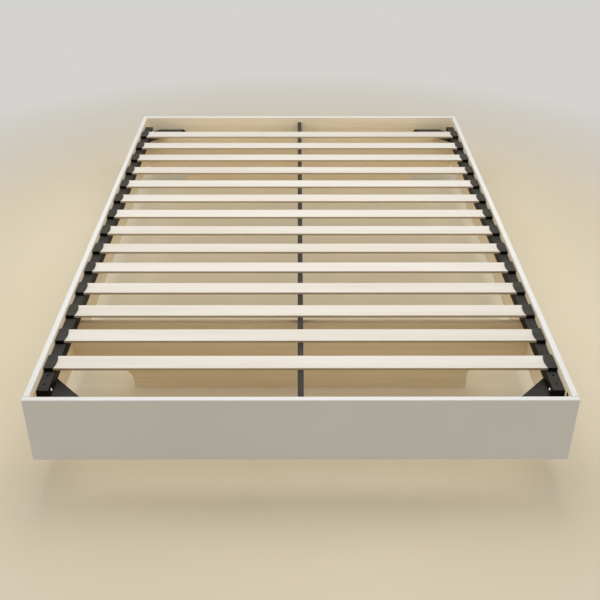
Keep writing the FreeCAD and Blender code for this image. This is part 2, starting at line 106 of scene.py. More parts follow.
# %% [markdown]
# Light
#
# The white top edges are bright, the front of the foot board is about half as bright, and the
# inner faces are bright again. So a wide lamp over the bed lights all that looks up and shines
# between the slats, and a lamp at each side lights the inner faces. An even sky fills the rest.
# Together they add up to a plain level, so a colour comes out about as it is written. The lamps
# are hidden from the camera, so that they never stand in front of the bed.

# %% Soft lamps
scene.view_settings.view_transform = "Standard"
lamp_tint = (1.0, 0.99, 0.97)


def soft_lamp(name, width, watts, spot, lean=0):
    """Square soft lamp that points down, or leans to the right by an angle."""
    data = bpy.data.lights.new(name, "AREA")
    data.shape = "SQUARE"
    data.size = width
    data.energy = watts
    data.color = lamp_tint
    lamp = bpy.data.objects.new(name, data)
    lamp.location = spot
    lamp.rotation_euler = (0, -math.radians(lean), 0)
    lamp.visible_camera = False
    scene.collection.objects.link(lamp)
    print(name, watts, "W at", spot)


soft_lamp("lamp over the bed", width=2.3, watts=31, spot=(0, 0.05, 2.1))
soft_lamp("lamp at the left", width=2.4, watts=50, spot=(-4.5, -0.6, 1.7), lean=72)
soft_lamp("lamp at the right", width=2.4, watts=50, spot=(4.5, -0.6, 1.7), lean=-72)

# %% [markdown]
# Helpers for nodes
#
# The sky and every finish are small graphs of nodes. Every pattern here is read from the piece's
# own place in the bed, so it stays put on the surface from any side. Most values of a random cloud
# lie between 0.3 and 0.7, so that is where a tone or a roughness drifts. Colours are written as
# they look on a screen, from 0 to 255, and turned into the linear light that a shader works with.

# %% Node helpers
cloud_low, cloud_high = 0.3, 0.7
white = (1, 1, 1, 1)


def add(tree, kind, inputs=None, out=0, **settings):
    """Output of a new node, whose inputs are set to values or linked to sockets."""
    made = tree.nodes.new(kind)
    for name, value in settings.items():
        setattr(made, name, value)
    for name, value in (inputs or {}).items():
        if isinstance(value, bpy.types.NodeSocket):
            tree.links.new(value, made.inputs[name])
        else:
            made.inputs[name].default_value = value
    return made.outputs[out]


def screen(red, green, blue):
    """Colour of screen values as linear light."""
    light = []
    for value in (red, green, blue):
        share = value / 255
        light.append(share / 12.92 if share <= 0.04045 else ((share + 0.055) / 1.055) ** 2.4)
    return (*light, 1)


def calc(tree, operation, first, second=0.0):
    """Result of a sum on one or two values."""
    return add(tree, "ShaderNodeMath", {0: first, 1: second}, operation=operation)


def place(tree, scale=(1, 1, 1), shift=None):
    """Place on the piece, stretched by a scale and moved by a shift."""
    spot = add(tree, "ShaderNodeTexCoord", out="Object")
    if shift is not None:
        spot = add(tree, "ShaderNodeVectorMath", {0: spot, 1: shift}, operation="ADD")
    return add(tree, "ShaderNodeMapping", {"Vector": spot, "Scale": scale})


def place_along(tree, axis):
    """Place on the piece along axis 0, 1 or 2."""
    return add(tree, "ShaderNodeSeparateXYZ", {0: place(tree)}, axis)


def cloud(tree, scale, detail, roughness=0.5, distortion=0.0, spot=None):
    """Soft random pattern on the piece, or on a stretched place."""
    return add(tree, "ShaderNodeTexNoise", {
        "Vector": place(tree) if spot is None else spot, "Scale": scale, "Detail": detail,
        "Roughness": roughness, "Distortion": distortion})


def ramp(tree, factor, stops):
    """Colours at places from 0 to 1."""
    made = add(tree, "ShaderNodeValToRGB", {"Fac": factor})
    bar = made.node.color_ramp.elements
    while len(bar) < len(stops):
        bar.new(1.0)
    for element, (spot, colour) in zip(bar, stops):
        element.position = spot
        element.color = colour
    return made


def span(tree, value, low, high, to_low, to_high):
    """Value moved from one range to another and kept in it."""
    return add(tree, "ShaderNodeMapRange", {
        "Value": value, "From Min": low, "From Max": high, "To Min": to_low,
        "To Max": to_high})


def two_tones(tree, pattern, dark, pale):
    """Colour that drifts with a cloud between two screen colours."""
    return ramp(tree, pattern, [(cloud_low, screen(*dark)), (cloud_high, screen(*pale))])


def drifting(tree, pattern, low, high):
    """Value that drifts with a cloud."""
    return span(tree, pattern, cloud_low, cloud_high, low, high)


def mixed(tree, factor, first, second, blend="MIX"):
    """Two colours mixed by a factor."""
    inputs = {0: factor, 6: first, 7: second}
    return add(tree, "ShaderNodeMix", inputs, 2, data_type="RGBA", blend_type=blend)


print("clouds drift between", cloud_low, "and", cloud_high)

# %% [markdown]
# The sky lights the bed softly, but the camera and shiny surfaces see a paler one, like a bright
# backdrop in a studio, which helps to make the black rails grey on top.

# %% Sky
sky_strength = 0.44
sky_tint = (0.98, 0.99, 1.0, 1)
far_tone = (0.66, 0.65, 0.62, 1)


def seen_rays(tree):
    """1 for the camera's own rays and those that shiny things send on, 0 for scattered light."""
    rays = add(tree, "ShaderNodeLightPath").node.outputs
    sent_on = calc(tree, "MAXIMUM", rays["Is Glossy Ray"], rays["Is Transmission Ray"])
    return calc(tree, "MAXIMUM", rays["Is Camera Ray"], sent_on)


sky = bpy.data.worlds.new("even sky")
sky.use_nodes = True
tree = sky.node_tree
glow = tree.nodes["Background"]
glow.inputs["Color"].default_value = sky_tint
glow.inputs["Strength"].default_value = sky_strength
backdrop = add(tree, "ShaderNodeBackground", {"Color": far_tone})
choice = add(tree, "ShaderNodeMixShader", {0: seen_rays(tree), 1: glow.outputs[0], 2: backdrop})
tree.links.new(choice, tree.nodes["World Output"].inputs["Surface"])
scene.world = sky
print("sky lights at", sky_strength, "and shows as", far_tone[:3])

# %% [markdown]
# Bare wood
#
# The inner faces, cross boards and slats are pale hardwood under a clear matt coat. Wood could be
# painted with rings, but thin veneer mostly shows long streaks: broad soft bands, fine fibres and
# short dark pores, all stretched along the grain. Four clouds of very different stretch give those
# scales.

# %% Wood grain
band_share, streak_share, pore_depth = 0.62, 0.38, 0.8
fibre_shade = (0.93, 0.92, 0.9, 1)


def new_finish(name):
    """Material with a fresh Principled shader, and its tree."""
    material = bpy.data.materials.new(name)
    material.use_nodes = True
    return material, material.node_tree


def link_finish(material, colour, roughness, bumps=None, **constants):
    """Material with its colour, roughness and bumps of (height, strength, distance) linked."""
    tree = material.node_tree
    inputs = tree.nodes["Principled BSDF"].inputs
    tree.links.new(colour, inputs["Base Color"])
    tree.links.new(roughness, inputs["Roughness"])
    if bumps:
        relief = add(tree, "ShaderNodeBump", dict(zip(("Height", "Strength", "Distance"), bumps)))
        tree.links.new(relief, inputs["Normal"])
    for name, value in constants.items():
        inputs[name].default_value = value
    return material


def wood_grain(tree, along, tones, shift=None):
    """Colour, height and roughness of pale wood whose grain runs along axis 0, 1 or 2."""
    dark, middle, pale = [screen(*tone) for tone in tones]

    def stretched(long, wide, *looks):
        """Cloud drawn out along the grain."""
        scale = [wide, wide, wide]
        scale[along] = long
        return cloud(tree, 1.0, *looks, spot=place(tree, scale, shift))

    bands = stretched(0.75, 11, 5, 0.55, 0.9)
    streaks = stretched(1.6, 95, 4, 0.6, 0.4)
    fibres = stretched(9, 900, 2)
    pores = stretched(38, 1500, 1)
    broad = calc(tree, "MULTIPLY", bands, band_share)
    figure = calc(tree, "ADD", broad, calc(tree, "MULTIPLY", streaks, streak_share))
    colour = ramp(tree, figure, [(0.36, dark), (0.5, middle), (0.64, pale)])
    fine = ramp(tree, fibres, [(cloud_low, fibre_shade), (cloud_high, white)])
    colour = mixed(tree, 1.0, colour, fine, "MULTIPLY")
    dashes = span(tree, pores, 0.66, 0.74, 0.0, 0.3)
    colour = mixed(tree, dashes, colour, dark)
    height = calc(tree, "SUBTRACT", fibres, calc(tree, "MULTIPLY", dashes, pore_depth))
    return colour, height, drifting(tree, streaks, 0.5, 0.62)


print("wood grain is", band_share, "bands and", streak_share, "streaks")

# %% [markdown]
# The white boards
#
# Each board is veneered wood, painted satin white outside and over its edges, and left bare
# inside. The colour could be split by faces, but these meshes stay as the drawing made them, so
# the finish asks where each point lies: inside the inner faces it is bare wood, elsewhere paint.

# %% Two-sided board finish
board_top = cad_box[1].z
board_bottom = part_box("foot_board")[0].z
inner_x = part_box("right_side_board")[0].x
inner_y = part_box("head_board")[0].y
edge_rounding, edge_margin, face_margin = 0.0025, 0.0003, 0.0002


def board_finish(name, along, across, inner_face):
    """White paint, with bare wood where the axis across is inside the inner face."""
    material, tree = new_finish(name)
    bare, bare_height, bare_roughness = wood_grain(
        tree, along, ((234, 216, 183), (242, 227, 198), (247, 235, 211)))

    depth = calc(tree, "ABSOLUTE", place_along(tree, across))
    level = place_along(tree, 2)
    inside = calc(tree, "LESS_THAN", depth, inner_face + face_margin)
    below = calc(tree, "LESS_THAN", level, board_top - edge_rounding + edge_margin)
    above = calc(tree, "GREATER_THAN", level, board_bottom + edge_rounding - edge_margin)
    inside = calc(tree, "MULTIPLY", inside, calc(tree, "MULTIPLY", below, above))

    paint = two_tones(tree, cloud(tree, 2.3, 3), (228, 227, 223), (233, 232, 229))
    peel = cloud(tree, 420, 2)
    paint_roughness = drifting(tree, cloud(tree, 9, 4), 0.34, 0.42)

    colour = mixed(tree, inside, paint, bare)
    rough = add(tree, "ShaderNodeMix", {0: inside, 2: paint_roughness, 3: bare_roughness})
    height = add(tree, "ShaderNodeMix", {0: inside, 2: peel, 3: bare_height})
    return link_finish(material, colour, rough, (height, 0.12, 0.0002))


def set_finish(finish, *names):
    """Puts a finish on solids that stay as they are."""
    for name in names:
        solids[name].material_slots[0].material = finish


set_finish(board_finish("end board, white and bare", 0, 1, inner_y), "foot_board", "head_board")
set_finish(board_finish("side board, white and bare", 1, 0, inner_x),
           "left_side_board", "right_side_board")
print("boards are", round((board_top - board_bottom) * 1000), "mm high")

# %% [markdown]
# Black steel
#
# The rails, gussets and angles are steel under a black powder coat, which melts into a fine orange
# peel and reflects softly. So the finish is nearly black, with a grain of under a millimetre and a
# roughness that drifts. Every face that looks up is painted a patchy paler grey than the sides:
# painted sheen, for the light it catches from above. The rails stay as they are, with their
# drilled holes.

# %% Powder coat
# Grey of the painted sheen on faces that look up, for the light they catch from above.
top_sheen_grey = screen(92, 89, 84)
black_ior = 1.2


def black_with_painted_sheen(name, patches, sheen_share, roughness, grain, bumps):
    """Black with painted sheen: a paler grey on the faces that look up, stronger in some places."""
    material, tree = new_finish(name)
    pattern = cloud(tree, *patches)
    black = two_tones(tree, pattern, (10, 10, 9), (14, 14, 13))
    normal = add(tree, "ShaderNodeNewGeometry", out="Normal")
    facing = add(tree, "ShaderNodeSeparateXYZ", {0: normal}, 2)
    # Painted sheen: faces that look up turn patchily paler, standing in for light from above.
    patchy_sheen = drifting(tree, cloud(tree, 35, 4), 0.8 * sheen_share, 1.2 * sheen_share)
    painted_sheen = calc(tree, "MULTIPLY", span(tree, facing, 0.4, 0.95, 0.0, 1.0), patchy_sheen)
    return link_finish(material, mixed(tree, painted_sheen, black, top_sheen_grey),
                       drifting(tree, pattern, *roughness), (grain(tree), *bumps), IOR=black_ior)


def orange_peel(tree):
    """Height of molten powder."""
    return cloud(tree, 1100, 2, 0.6)


black_coat = black_with_painted_sheen("black powder coat", patches=(14, 4), sheen_share=0.42,
                         roughness=(0.46, 0.54), grain=orange_peel, bumps=(0.25, 0.00015))
set_finish(black_coat, "left_slat_rail", "right_slat_rail", "centre_rail")
print("three rails have a", black_coat.name)

# %% [markdown]
# Helpers for pieces
#
# A new piece is a mesh in its final place, built from rings or outlines of points. Sharp corners
# catch no light, so most pieces get a small bevel, and weighted normals keep their flat faces
# flat. Then the modifiers are frozen into a plain mesh.

# %% Piece helpers
same_spot = 1e-7


def new_piece(name, mesh=None, finish=None):
    """Object in the scene with a mesh, or an empty one, and perhaps with a finish."""
    piece = bpy.data.objects.new(name, mesh or bpy.data.meshes.new(name))
    scene.collection.objects.link(piece)
    if finish:
        piece.data.materials.append(finish)
    return piece


def mesh_of(name, points, faces, inside=None):
    """Smooth mesh with its faces turned outwards, or away from a point if it is an open skin."""
    mesh = bpy.data.meshes.new(name)
    mesh.from_pydata(points, [], faces)
    work = bmesh.new()
    work.from_mesh(mesh)
    bmesh.ops.remove_doubles(work, verts=work.verts, dist=same_spot)
    bmesh.ops.recalc_face_normals(work, faces=work.faces)
    if inside is not None:
        work.faces.ensure_lookup_table()
        face = work.faces[0]
        if face.normal.dot(face.calc_center_median() - Vector(inside)) < 0:
            bmesh.ops.reverse_faces(work, faces=work.faces)
    work.to_mesh(mesh)
    work.free()
    mesh.shade_smooth()
    return mesh


def stack_faces(first, rings, sides):
    """Faces of a closed stack of rings: its two ends, then the walls."""
    ends = (first, first + (rings - 1) * sides)
    faces = [[end + spot for spot in range(sides)] for end in ends]
    for low in range(first, ends[1], sides):
        for spot in range(sides):
            after = (spot + 1) % sides
            faces.append([low + spot, low + after, low + sides + after, low + sides + spot])
    return faces


def ease(piece, width, segments=2, angle=40):
    """Bevel on every edge sharper than an angle."""
    bevel = piece.modifiers.new("eased edges", "BEVEL")
    bevel.width = width
    bevel.segments = segments
    bevel.limit_method = "ANGLE"
    bevel.angle_limit = math.radians(angle)


def freeze(piece):
    """Weighted normals, then a plain mesh in place of the live modifiers."""
    piece.modifiers.new("flat faces", "WEIGHTED_NORMAL").weight = 100
    graph = bpy.context.evaluated_depsgraph_get()
    source = piece.evaluated_get(graph)
    mesh = bpy.data.meshes.new_from_object(source, preserve_all_data_layers=True, depsgraph=graph)
    piece.modifiers.clear()
    old = piece.data
    piece.data = mesh
    mesh.name = piece.name
    bpy.data.meshes.remove(old)


def join_frame(piece, slot, *stands_for):
    """Freezes a piece and fixes it to the bed in place of its solids."""
    freeze(piece)
    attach(piece, "root")
    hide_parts(*stands_for)
    print(piece.name, len(piece.data.polygons), "faces, stands for", len(stands_for), "solids")


print("points closer than", same_spot, "m become one")

# %% [markdown]
# Helpers for node trees
#
# What repeats is set out by Geometry Nodes: a tree with named sizes, whose values are set on the
# modifier before the piece is first evaluated.

# %% Tree helpers


def new_tree(name, **sizes):
    """Geometry Nodes tree with inputs named by kind; returns it, its inputs and its result."""
    tree = bpy.data.node_groups.new(name, "GeometryNodeTree")
    tree.is_modifier = True
    for kind, labels in sizes.items():
        for label in labels:
            tree.interface.new_socket(label, in_out="INPUT", socket_type="NodeSocket" + kind)
    tree.interface.new_socket("Geometry", in_out="OUTPUT", socket_type="NodeSocketGeometry")
    entry = tree.nodes.new("NodeGroupInput")
    leave = tree.nodes.new("NodeGroupOutput")
    print("tree", name, "takes", sizes)
    return tree, entry.outputs, leave.inputs[0]


def close_tree(tree, instances, material, result):
    """Ends a tree with real meshes in place of instances, and with their material."""
    real = add(tree, "GeometryNodeRealizeInstances", {"Geometry": instances})
    dressed = add(tree, "GeometryNodeSetMaterial", {"Geometry": real, "Material": material})
    tree.links.new(dressed, result)


def grow(piece, tree, values):
    """Puts a tree on a piece and sets its inputs by their identifiers."""
    modifier = piece.modifiers.new(tree.name, "NODES")
    modifier.node_group = tree
    for item in tree.interface.items_tree:
        if item.in_out == "INPUT" and item.name in values:
            modifier[item.identifier] = values[item.name]


def row_of_points(tree, size, sideways):
    """Points a pitch apart along Y, with the middle of the row at Y = 0."""
    gaps = calc(tree, "SUBTRACT", size["Count"], 1.0)
    length = calc(tree, "MULTIPLY", gaps, size["Pitch"])
    first = calc(tree, "MULTIPLY", length, -0.5)
    start = add(tree, "ShaderNodeCombineXYZ", {"X": sideways, "Y": first, "Z": size["Level"]})
    step = add(tree, "ShaderNodeCombineXYZ", {"Y": size["Pitch"]})
    inputs = {"Count": size["Count"], "Start Location": start, "Offset": step}
    return add(tree, "GeometryNodeMeshLine", inputs)


print("helpers for node trees are ready")

# %% [markdown]
# The slats
#
# Fourteen flat slats of pale maple ply, 55 by 8 mm, lie at an even pitch. Each is a rounded
# profile swept along a straight line. Its edges are painted darker than its faces, partly for the
# plies' own tone and partly as painted shade, and dark seams between the plies show on them. The
# tree repeats it and gives every slat two random numbers, which make its wood a little lighter or
# darker and take its grain from another place.

# %% Slat wood
slat_middle, lowest_seam, slat_ply = 0.286, 0.2815, 0.0016
edge_reach, face_reach = 0.0033, 0.0037


def layers(tree, depth, first, thickness):
    """Place inside each ply, from 0 to 1, along a depth counted from the first ply."""
    start = calc(tree, "SUBTRACT", depth, first)
    return calc(tree, "FRACT", calc(tree, "DIVIDE", start, thickness))


slat_wood, tree = new_finish("pale slat wood")
shift = add(tree, "ShaderNodeAttribute", out="Vector", attribute_name="grain_shift")
colour, height, roughness = wood_grain(
    tree, 0, ((224, 216, 203), (231, 225, 215), (236, 232, 224)), shift)
own = add(tree, "ShaderNodeAttribute", out="Fac", attribute_name="slat_tone")
warmth = ramp(tree, own, [(0.0, (0.965, 0.955, 0.94, 1)), (1.0, white)])
colour = mixed(tree, 1.0, colour, warmth, "MULTIPLY")
level = place_along(tree, 2)
seam = span(tree, layers(tree, level, lowest_seam, slat_ply), 0.0, 0.2, 0.6, 0.0)
# Edge colour: partly the plies' own darker tone, partly painted shade on the slats' edges.
edge_wood_and_shade = mixed(tree, seam, screen(192, 171, 139), screen(146, 119, 86))
from_middle = calc(tree, "ABSOLUTE", calc(tree, "SUBTRACT", level, slat_middle))
on_edge = span(tree, from_middle, edge_reach, face_reach, 1.0, 0.0)
colour = mixed(tree, on_edge, colour, edge_wood_and_shade)
link_finish(slat_wood, colour, roughness, (height, 0.12, 0.0002))
print(slat_wood.name, "has its own tone on each slat")

# %% Slat deck
slat_numbers = range(1, 15)
slat_edge_radius, slat_seed, farthest_grain = 0.0009, 7, (9, 9, 9)
first_low, first_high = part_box("slat_01")
slat_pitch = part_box("slat_02")[0].y - first_low.y

tree, size, result = new_tree(
    "slat deck", Int=["Count", "Seed"], Material=["Wood"],
    Float=["Pitch", "Length", "Width", "Thickness", "Edge radius", "Level"])
profile = add(tree, "GeometryNodeCurvePrimitiveQuadrilateral", {
    "Width": size["Width"], "Height": size["Thickness"]})
rounded = add(tree, "GeometryNodeFilletCurve", {
    "Curve": profile, "Count": 4, "Radius": size["Edge radius"]}, mode="POLY")
half = calc(tree, "MULTIPLY", size["Length"], 0.5)
left_end = add(tree, "ShaderNodeCombineXYZ", {"X": calc(tree, "MULTIPLY", half, -1.0)})
right_end = add(tree, "ShaderNodeCombineXYZ", {"X": half})
line = add(tree, "GeometryNodeCurvePrimitiveLine", {"Start": left_end, "End": right_end})
bar = add(tree, "GeometryNodeCurveToMesh", {
    "Curve": line, "Profile Curve": rounded, "Fill Caps": True})
smooth = add(tree, "GeometryNodeSetShadeSmooth", {"Geometry": bar})
slats = add(tree, "GeometryNodeInstanceOnPoints", {
    "Points": row_of_points(tree, size, 0.0), "Instance": smooth})
own_tone = add(tree, "FunctionNodeRandomValue", {
    2: 0.0, 3: 1.0, 8: size["Seed"]}, 1, data_type="FLOAT")
toned = add(tree, "GeometryNodeStoreNamedAttribute", {
    "Geometry": slats, "Name": "slat_tone", "Value": own_tone},
    data_type="FLOAT", domain="INSTANCE")
own_shift = add(tree, "FunctionNodeRandomValue", {
    0: [-reach for reach in farthest_grain], 1: farthest_grain, 8: size["Seed"]},
    data_type="FLOAT_VECTOR")
shifted = add(tree, "GeometryNodeStoreNamedAttribute", {
    "Geometry": toned, "Name": "grain_shift", "Value": own_shift},
    data_type="FLOAT_VECTOR", domain="INSTANCE")
close_tree(tree, shifted, size["Wood"], result)

slat_deck = new_piece("slat_deck")
grow(slat_deck, tree, {
    "Count": len(slat_numbers), "Pitch": slat_pitch, "Length": first_high.x - first_low.x,
    "Width": first_high.y - first_low.y, "Thickness": first_high.z - first_low.z,
    "Edge radius": slat_edge_radius, "Level": (first_low.z + first_high.z) / 2,
    "Seed": slat_seed, "Wood": slat_wood})
join_frame(slat_deck, "slat_wood", *["slat_%02d" % number for number in slat_numbers])
print(len(slat_numbers), "slats, one every", round(slat_pitch * 1000, 1), "mm")

# %% [markdown]
# Moulded black plastic
#
# The caps and plugs are injection moulded. Their moulds are lightly spark-eroded, so the plastic
# has a fine even grain. It is as black as the steel and a little shinier, and its faces that look
# up get more painted sheen.

# %% Moulded plastic


def eroded_grain(tree):
    """Height of the cells that an eroded mould leaves."""
    return add(tree, "ShaderNodeTexVoronoi", {"Vector": place(tree), "Scale": 1500.0})


black_plastic = black_with_painted_sheen("black moulded plastic", patches=(30, 3), sheen_share=0.5,
                            roughness=(0.44, 0.52), grain=eroded_grain, bumps=(0.2, 0.0001))
print(black_plastic.name, "has a fine eroded grain")

# %% [markdown]
# The slat caps
#
# Each slat end sits in a shallow cap on the rail. Its lip bulges over the slat in a flat arc,
# which leaves two pale horns of wood at the corners, and a pin under its floor snaps into the
# rail. One cap is built from its outline as floor, walls and lip, so its pocket is really open,
# and the tree sets out two rows of it.

# %% Cap sizes and outline
cap_low, cap_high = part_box("slat_caps_01")
rail_low, rail_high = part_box("right_slat_rail")
rail_middle_x = (rail_low.x + rail_high.x) / 2
cap_half = (cap_high.y - cap_low.y) / 2
cap_tall = cap_high.z - rail_high.z
cap_length, cap_bulge, cap_back, cap_floor, cap_corner = 0.024, 0.006, 0.0025, 0.002, 0.004
cap_clearance, cap_edge = 0.0002, 0.0007
slat_half = (first_high.y - first_low.y) / 2 + cap_clearance
pocket_top = first_high.z - rail_high.z + cap_clearance
corner_steps, arc_steps = 6, 24


def quarter(steps):
    """Angles from 0 to 90 degrees."""
    return [math.radians(90 * step / steps) for step in range(steps + 1)]


def tongue_reach(side):
    """How far the mouth's arc stands before the back of the cap."""
    radius = (cap_half ** 2 + cap_bulge ** 2) / (2 * cap_bulge)
    return cap_length + math.sqrt(radius ** 2 - side ** 2) - (radius - cap_bulge)


def cap_outline():
    """Outline from one pocket wall round the back to the other, and the mouth's arc between."""
    wall = [(-tongue_reach(slat_half), slat_half), (-cap_length, cap_half)]
    for angle in reversed(quarter(corner_steps)):
        x = -cap_corner + cap_corner * math.cos(angle)
        wall.append((x, cap_half - cap_corner + cap_corner * math.sin(angle)))
    wall += [(x, -y) for x, y in reversed(wall)]
    sides = [-slat_half + 2 * slat_half * step / arc_steps for step in range(1, arc_steps)]
    return wall, [(-tongue_reach(side), side) for side in sides]


print("caps are", round(cap_half * 2000, 1), "mm wide and", round(cap_tall * 1000, 1), "mm tall")

# %% One cap
pin_profile = ((0.001, 0.003), (-0.0065, 0.003), (-0.008, 0.0022))
pin_sides = 16
ring_count = 24


def circle(radius, sides=ring_count):
    """Points round a circle."""
    angles = [2 * math.pi * spot / sides for spot in range(sides)]
    return [(radius * math.cos(angle), radius * math.sin(angle)) for angle in angles]


def cap_mesh():
    """Floor, walls, lip and open pocket of a cap, and its pin with a narrow tip."""
    wall, arc = cap_outline()
    ring = wall + arc
    levels = (0, cap_floor, pocket_top, cap_tall)
    count = len(ring)
    points = [(x, y, z) for z in levels for x, y in ring]
    inner = len(points)
    for z in levels[1:3]:
        points += [(-cap_back, slat_half, z), (-cap_back, -slat_half, z)]
    faces = [list(range(count)), [3 * count + spot for spot in range(count)]]
    last = len(wall) - 1
    for spot in range(count):
        after = (spot + 1) % count
        for level in (0, 1, 2) if spot < last else (0, 2):
            low = level * count
            faces.append([low + spot, low + after, low + count + after, low + count + spot])
    for level, back in ((1, inner), (2, inner + 2)):
        mouth = [level * count + spot for spot in list(range(last, count)) + [0]]
        faces.append(mouth + [back, back + 1])
    low, high = count, 2 * count
    faces.append([low, inner, inner + 2, high])
    faces.append([inner, inner + 1, inner + 3, inner + 2])
    faces.append([inner + 1, low + last, high + last, inner + 3])
    faces += stack_faces(len(points), len(pin_profile), pin_sides)
    middle = rail_middle_x - cap_high.x
    points += [(middle + x, y, level)
               for level, radius in pin_profile for x, y in circle(radius, pin_sides)]
    return mesh_of("cap", points, faces)


cap = new_piece("cap", cap_mesh())
print("one cap has", len(cap.data.polygons), "faces")

# %% Two rows of caps
tree, size, result = new_tree(
    "slat caps", Object=["Cap"], Int=["Count"], Float=["Pitch", "Reach", "Level"],
    Material=["Plastic"])
shape = add(tree, "GeometryNodeObjectInfo", {"Object": size["Cap"]}, "Geometry")
rows = add(tree, "GeometryNodeJoinGeometry")
left_reach = calc(tree, "MULTIPLY", size["Reach"], -1.0)
for sideways, turned in ((size["Reach"], 0.0), (left_reach, math.pi)):
    caps = add(tree, "GeometryNodeInstanceOnPoints", {
        "Points": row_of_points(tree, size, sideways), "Instance": shape,
        "Rotation": (0, 0, turned)})
    tree.links.new(caps, rows.node.inputs[0])
close_tree(tree, rows, size["Plastic"], result)

slat_caps = new_piece("slat_caps")
grow(slat_caps, tree, {
    "Cap": cap, "Count": len(slat_numbers), "Pitch": slat_pitch, "Reach": cap_high.x,
    "Level": rail_high.z, "Plastic": black_plastic})
ease(slat_caps, cap_edge, 3)
join_frame(slat_caps, "black_plastic", *["slat_caps_%02d" % number for number in slat_numbers])
bpy.data.objects.remove(cap)

# %% [markdown]
# The cross boards
#
# Two plywood boards run across the whole inside and narrow to a foot at the floor, with a rounded
# inner corner on each side. They are cut from one sheet, so an outline pushed through its
# thickness is the whole shape. The faces are plain veneer, and the edges show plies, which the
# finish draws from the depth inside the board. The rear board's tones are written paler than the
# front's: painted light, for the light its shaded face does not get.

# %% Plywood
board_ply, face_ply = 0.0032, 0.0008
# The rear board's paler tones are painted light on its shaded face.
veneer_and_painted_light = {"front_cross_board": ((233, 212, 175), (241, 223, 189), (245, 231, 202)),
          "rear_cross_board": ((240, 219, 183), (247, 230, 198), (250, 237, 210))}


def plywood_finish(name, face):
    """Veneer on the faces and plies on the edges, counted along Y from one face of the board."""
    material, tree = new_finish("pale plywood, " + name.replace("_", " "))
    colour, height, roughness = wood_grain(tree, 0, veneer_and_painted_light[name])
    plies = layers(tree, place_along(tree, 1), face - face_ply, board_ply)
    cross_ply = calc(tree, "GREATER_THAN", plies, 0.5)
    dark = span(tree, cross_ply, 0.0, 1.0, 0.0, 0.3)
    colour = mixed(tree, dark, colour, screen(172, 134, 88))
    return link_finish(material, colour, roughness, (height, 0.15, 0.0002))


print("plies of", board_ply * 1000, "mm between thinner faces")

# %% [markdown]
# The foot's inner corners have unlike radii, and the top of the rear board is cut down at both
# ends, where the gussets of the head end lie over it.

# %% Cross boards
foot_half, wing_level = 0.520, 0.077
foot_radius_left, foot_radius_right, foot_steps = 0.050, 0.028, 10
notch_depth, notch_length, wood_edge = 0.0032, 0.123, 0.0008
wing_reach, _, wing_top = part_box("front_cross_board")[1]


def foot_arc(side, radius):
    """Inner corner from the wing's underside down to the foot's edge."""
    return [(side * (foot_half + radius - radius * math.sin(angle)),
             wing_level - radius + radius * math.cos(angle)) for angle in quarter(foot_steps)]


def cross_outline(notched):
    """Outline of a cross board in X and Z."""
    right = [(wing_reach, wing_level)] + foot_arc(1, foot_radius_right) + [(foot_half, 0)]
    left = [(-wing_reach, wing_level)] + foot_arc(-1, foot_radius_left) + [(-foot_half, 0)]
    top = [(wing_reach, wing_top)]
    if notched:
        low = wing_top - notch_depth
        inner = wing_reach - notch_length
        top = [(inner, wing_top), (inner, low), (wing_reach, low)]
    return [(-x, z) for x, z in reversed(top)] + top + right + left[::-1]


for name, notched in (("front_cross_board", False), ("rear_cross_board", True)):
    low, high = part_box(name)
    outline = cross_outline(notched)
    points = [(x, y, z) for y in (low.y, high.y) for x, z in outline]
    mesh = mesh_of(name, points, stack_faces(0, 2, len(outline)))
    board = new_piece("wood_" + name, mesh, plywood_finish(name, low.y))
    ease(board, wood_edge)
    join_frame(board, "natural_wood", name)

# %% [markdown]
# Gussets and angles
#
# The gussets, the angles behind the cross boards and the hangers of the centre rail are all bent
# from flat steel. Sheet metal never folds to a sharp corner, so each is drawn as the outer skin of
# the sheet with a rounded bend, and Solidify thickens it on the inner side.

# %% Bent steel
plate_steel, angle_steel, steel_edge = 0.003, 0.0025, 0.0004
bend_radius, bend_count = 0.0045, 5
rail_bottom = rail_low.z

bend = [(bend_radius - bend_radius * math.sin(angle), bend_radius - bend_radius * math.cos(angle))
        for angle in quarter(bend_count)]


def steel_sheet(name, points, faces, thickness, inside):
    """Coated sheet in place of a solid, with its thickness on the side where the inside is."""
    piece = new_piece("bent_" + name, mesh_of(name, points, faces, inside), black_coat)
    wall = piece.modifiers.new("steel", "SOLIDIFY")
    wall.thickness = thickness
    wall.offset = -1
    wall.use_even_offset = True
    ease(piece, steel_edge, 2, 50)
    join_frame(piece, "black_steel", name)


print("steel bends with a radius of", bend_radius * 1000, "mm")

# %% Gussets
leg, clip, tip, drop, chamfer, flare = 0.166, 0.057, 0.008, 0.033, 0.009, 0.009
both_sides = ((-1, "left"), (1, "right"))
both_ends = ((-1, "foot"), (1, "head"))


def gusset(name, side, end):
    """Triangular plate under a rail with a flange bent down, which is wider below the bend."""
    start = bend[0][0]
    local = [(clip - start, start, 0), (leg, start, 0),
             (leg, tip, 0), (tip, leg, 0), (0, leg, 0), (0, clip, 0)]
    faces = [[0, 1, 2, 3, 4, 5]]
    near, far = 0, 1
    for run, down in bend[1:]:
        local += [(clip - run, run, down), (leg, run, down)]
        faces.append([near, far, len(local) - 1, len(local) - 2])
        near, far = len(local) - 2, len(local) - 1
    wide = leg + flare
    flange = [(wide, 0, bend[-1][1] + flare), (wide, 0, drop - chamfer), (wide - chamfer, 0, drop),
              (clip + chamfer, 0, drop), (clip, 0, drop - chamfer)]
    faces.append([near, far] + [len(local) + spot for spot in range(len(flange))])
    points = [(side * (inner_x - reach), end * (inner_y - run), rail_bottom - down)
              for reach, run, down in local + flange]
    inside = (side * (inner_x - clip), end * (inner_y - drop), rail_bottom - drop)
    steel_sheet(name, points, faces, plate_steel, inside)


for end, end_name in both_ends:
    for side, side_name in both_sides:
        gusset("gusset_%s_%s" % (end_name, side_name), side, end)

